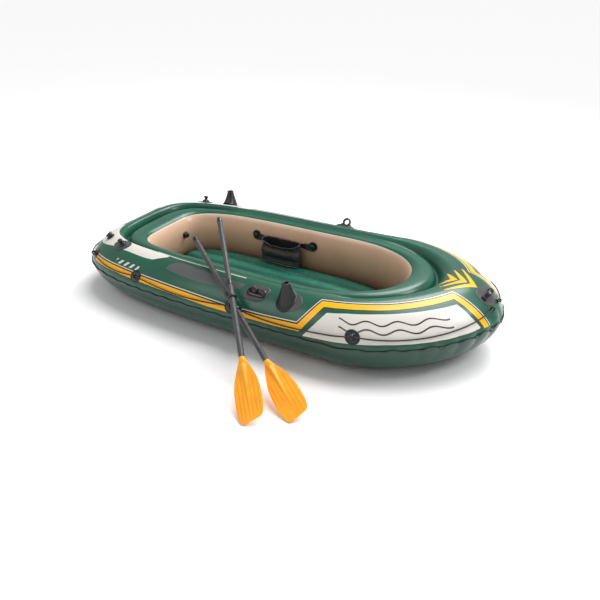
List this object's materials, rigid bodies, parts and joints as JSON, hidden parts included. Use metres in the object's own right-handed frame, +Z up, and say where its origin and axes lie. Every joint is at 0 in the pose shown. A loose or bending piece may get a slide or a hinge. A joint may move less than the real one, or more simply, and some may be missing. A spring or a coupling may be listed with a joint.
{
  "type": "inflatable rowing boat",
  "caption": "Inflatable rowing boat with two-lobed air chamber, ribbed air floor, grab rope, oarlocks, rod holders, gear bag and take-down oars leaning on its side.",
  "frame": {"origin": "on the floor below the middle of the hull, on the underside of the bottom sheet", "axes": "+X to the bow, +Y to port, +Z up"},
  "size_m": [2.36, 1.6327, 0.5264],
  "materials": {
    "hull_vinyl": "satin",
    "tan_vinyl": "satin",
    "floor_vinyl": "satin",
    "black_vinyl": "satin",
    "grey_vinyl": "matte",
    "shaft_plastic": "satin",
    "blade_plastic": "satin",
    "rope_cord": "matte"
  },
  "bodies": {
    "hull": {"bag_button_aft": "black_vinyl", "bag_button_fore": "black_vinyl", "bottom_sheet": "hull_vinyl", "bow_handle": "black_vinyl", "bow_pad": "grey_vinyl", "bow_ring_port": "black_vinyl", "bow_ring_starboard": "black_vinyl", "floor_cushion": "floor_vinyl", "floor_valve_body": "black_vinyl", "grab_rope": "rope_cord", "inner_chamber": "tan_vinyl", "inner_valve_body": "black_vinyl", "main_valve_body": "black_vinyl", "motor_boss_port": "black_vinyl", "motor_boss_starboard": "black_vinyl", "motor_pad_port": "grey_vinyl", "motor_pad_starboard": "grey_vinyl", "oarlock_arch_port": "black_vinyl", "oarlock_arch_starboard": "black_vinyl", "oarlock_pad_port": "grey_vinyl", "oarlock_pad_starboard": "grey_vinyl", "outer_chamber": "hull_vinyl", "rod_holder_port": "grey_vinyl", "rod_holder_starboard": "grey_vinyl", "rod_pad_port": "grey_vinyl", "rod_pad_starboard": "grey_vinyl", "rope_eye_port_aft": "black_vinyl", "rope_eye_port_corner": "black_vinyl", "rope_eye_port_fore": "black_vinyl", "rope_eye_port_mid": "black_vinyl", "rope_eye_starboard_aft": "black_vinyl", "rope_eye_starboard_corner": "black_vinyl", "rope_eye_starboard_fore": "black_vinyl", "rope_eye_starboard_mid": "black_vinyl", "rope_eye_transom_port": "black_vinyl", "rope_eye_transom_starboard": "black_vinyl", "weld_flange": "black_vinyl"},
    "main_valve_cap": {"main_valve_cap": "black_vinyl"},
    "floor_valve_cap": {"floor_valve_cap": "black_vinyl"},
    "inner_valve_cap": {"inner_valve_cap": "black_vinyl"},
    "gear_bag": {"gear_bag": "black_vinyl", "bag_strap_aft": "black_vinyl", "bag_strap_fore": "black_vinyl"},
    "oar_front": {"oar_front_blade": "blade_plastic", "oar_front_lower_shaft": "shaft_plastic", "oar_front_collar": "black_vinyl"},
    "oar_front_top": {"oar_front_upper_shaft": "shaft_plastic", "oar_front_grip_cap": "black_vinyl"},
    "oar_rear": {"oar_rear_blade": "blade_plastic", "oar_rear_lower_shaft": "shaft_plastic", "oar_rear_collar": "black_vinyl"},
    "oar_rear_top": {"oar_rear_upper_shaft": "shaft_plastic", "oar_rear_grip_cap": "black_vinyl"}
  },
  "joints": [
    {"name": "main_valve_cap_lift", "type": "slide", "parent": "hull", "child": "main_valve_cap", "axis": [-0.3001, -0.3096, 0.9023], "range_m": [0, 0.03]},
    {"name": "floor_valve_cap_lift", "type": "slide", "parent": "hull", "child": "floor_valve_cap", "axis": [0, 0, 1], "range_m": [0, 0.03]},
    {"name": "inner_valve_cap_lift", "type": "slide", "parent": "hull", "child": "inner_valve_cap", "axis": [1, 0, 0], "range_m": [0, 0.03]},
    {"name": "gear_bag_lift", "type": "slide", "parent": "hull", "child": "gear_bag", "axis": [0, 0, 1], "range_m": [0, 0.013]},
    {"name": "oar_front_draw", "type": "slide", "parent": "hull", "child": "oar_front", "axis": [-0.6047, 0.6859, 0.4049], "range_m": [0, 0.15]},
    {"name": "oar_front_take_down", "type": "slide", "parent": "oar_front", "child": "oar_front_top", "axis": [-0.6047, 0.6859, 0.4049], "range_m": [0, 0.06]},
    {"name": "oar_rear_draw", "type": "slide", "parent": "hull", "child": "oar_rear", "axis": [-0.8054, 0.4916, 0.3313], "range_m": [0, 0.04]},
    {"name": "oar_rear_take_down", "type": "slide", "parent": "oar_rear", "child": "oar_rear_top", "axis": [-0.8054, 0.4916, 0.3313], "range_m": [0, 0.06]}
  ]
}
